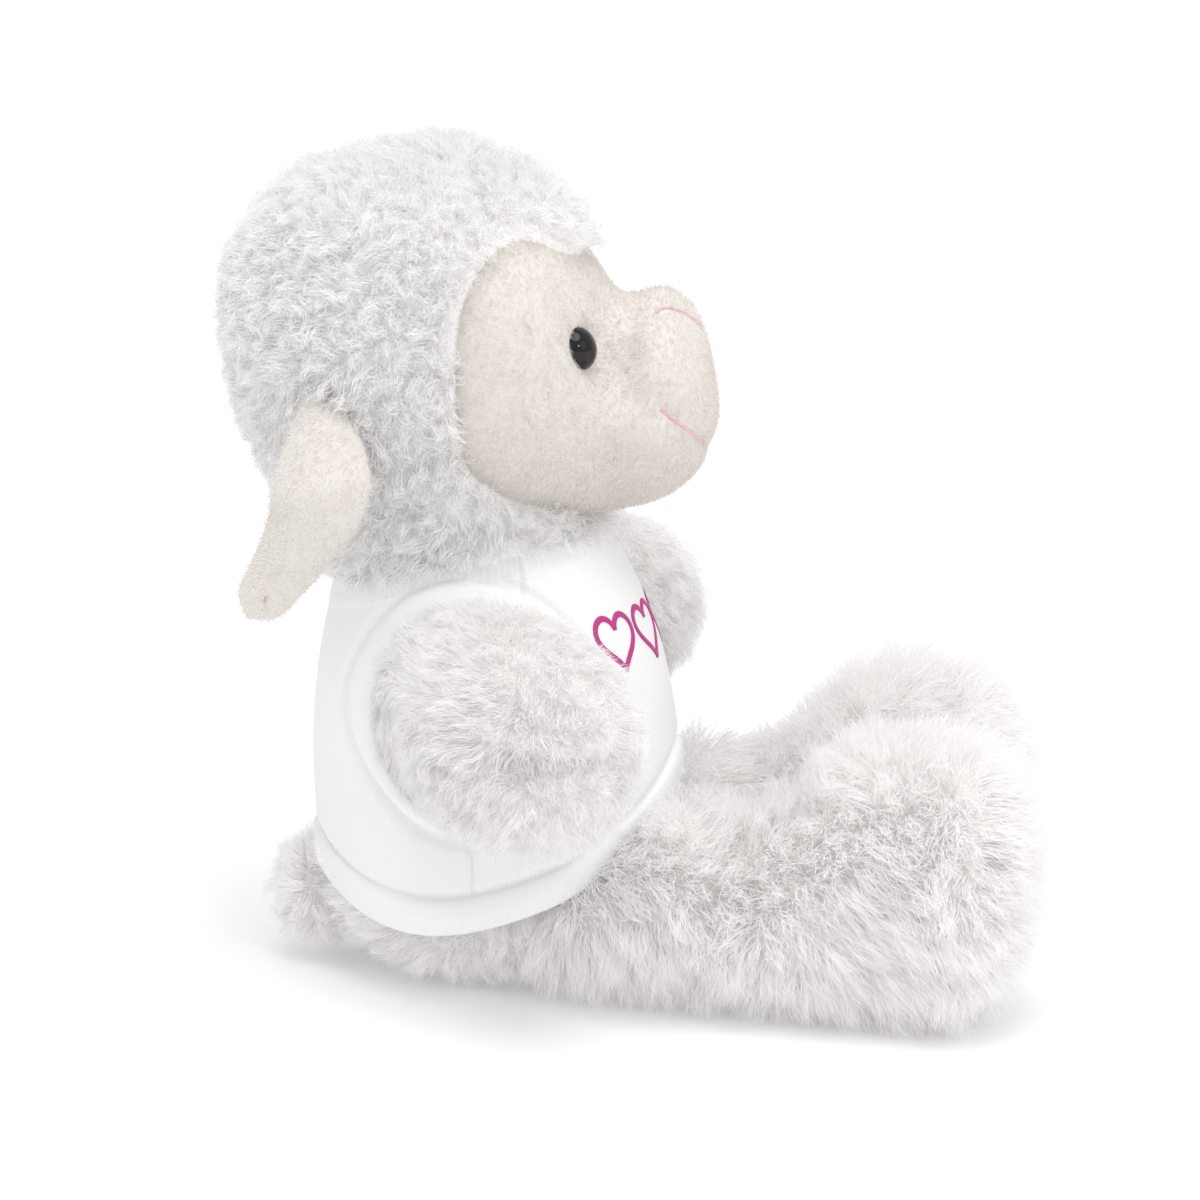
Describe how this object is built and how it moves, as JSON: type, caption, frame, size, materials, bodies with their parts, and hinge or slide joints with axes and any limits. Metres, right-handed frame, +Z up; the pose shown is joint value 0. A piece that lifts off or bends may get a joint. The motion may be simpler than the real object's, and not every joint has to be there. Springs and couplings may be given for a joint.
{
  "type": "plush sheep",
  "caption": "Seated plush sheep in a sleeveless tee, with a turning head, swinging arms, lifting legs and ears and a wagging tail.",
  "frame": {"origin": "middle of the flat seat under the body, on the surface that the toy sits on", "axes": "+Z up, -Y the way the toy faces, +X its left side"},
  "size_m": [0.1954, 0.1972, 0.2095],
  "materials": {
    "fleece": "matte",
    "limb_fleece": "matte",
    "face_plush": "matte",
    "tee_knit": "matte",
    "rib_knit": "matte",
    "eye_gloss": "gloss",
    "washer_plastic": "matte",
    "thread": "matte",
    "filling": "matte",
    "pellets": "matte"
  },
  "bodies": {
    "torso": {"body_fleece": "fleece", "body_stuffing": "filling", "pellet_bag": "pellets", "tee_front": "tee_knit", "tee_back": "tee_knit", "neck_rib": "rib_knit", "left_armhole_rib": "rib_knit", "right_armhole_rib": "rib_knit", "hem_band": "rib_knit"},
    "head": {"head_fleece": "fleece", "face_patch": "face_plush", "head_stuffing": "filling", "left_eye": "eye_gloss", "right_eye": "eye_gloss", "left_eye_washer": "washer_plastic", "right_eye_washer": "washer_plastic", "nose_stitching": "thread", "philtrum_stitching": "thread", "mouth_stitching": "thread"},
    "left_ear": {"left_ear_outer": "face_plush", "left_ear_lining": "face_plush"},
    "right_ear": {"right_ear_outer": "face_plush", "right_ear_lining": "face_plush"},
    "left_arm": {"left_arm_fleece": "limb_fleece", "left_arm_stuffing": "filling"},
    "right_arm": {"right_arm_fleece": "limb_fleece", "right_arm_stuffing": "filling"},
    "left_leg": {"left_leg_fleece": "limb_fleece", "left_leg_stuffing": "filling"},
    "right_leg": {"right_leg_fleece": "limb_fleece", "right_leg_stuffing": "filling"},
    "tail": {"tail_fleece": "limb_fleece", "tail_stuffing": "filling"}
  },
  "joints": [
    {"name": "head_turn", "type": "hinge", "parent": "torso", "child": "head", "pos_m": [0, 0.004, 0.106], "axis": [0, 0.1874, 0.9823], "range_deg": [-25, 25], "stiffness_Nm_per_rad": 0.05},
    {"name": "left_ear_lift", "type": "hinge", "parent": "head", "child": "left_ear", "pos_m": [0.0465, 0.0365, 0.1525], "axis": [0, -1, 0], "range_deg": [0, 70]},
    {"name": "right_ear_lift", "type": "hinge", "parent": "head", "child": "right_ear", "pos_m": [-0.0465, 0.0365, 0.1525], "axis": [0, 1, 0], "range_deg": [0, 70]},
    {"name": "left_arm_swing", "type": "hinge", "parent": "torso", "child": "left_arm", "pos_m": [0.04173, -0.003, 0.072], "axis": [0, 0, -1], "range_deg": [-15, 25], "stiffness_Nm_per_rad": 0.02},
    {"name": "right_arm_swing", "type": "hinge", "parent": "torso", "child": "right_arm", "pos_m": [-0.04173, -0.003, 0.072], "axis": [0, 0, 1], "range_deg": [-15, 25], "stiffness_Nm_per_rad": 0.02},
    {"name": "left_leg_lift", "type": "hinge", "parent": "torso", "child": "left_leg", "pos_m": [0.022, -0.035, 0.0445], "axis": [-1, 0, 0], "range_deg": [0, 20], "stiffness_Nm_per_rad": 0.03},
    {"name": "right_leg_lift", "type": "hinge", "parent": "torso", "child": "right_leg", "pos_m": [-0.022, -0.035, 0.0445], "axis": [-1, 0, 0], "range_deg": [0, 20], "stiffness_Nm_per_rad": 0.03},
    {"name": "tail_wag", "type": "hinge", "parent": "torso", "child": "tail", "pos_m": [0, 0.03778, 0.0165], "axis": [0, 0, 1], "range_deg": [-25, 25], "stiffness_Nm_per_rad": 0.005}
  ]
}
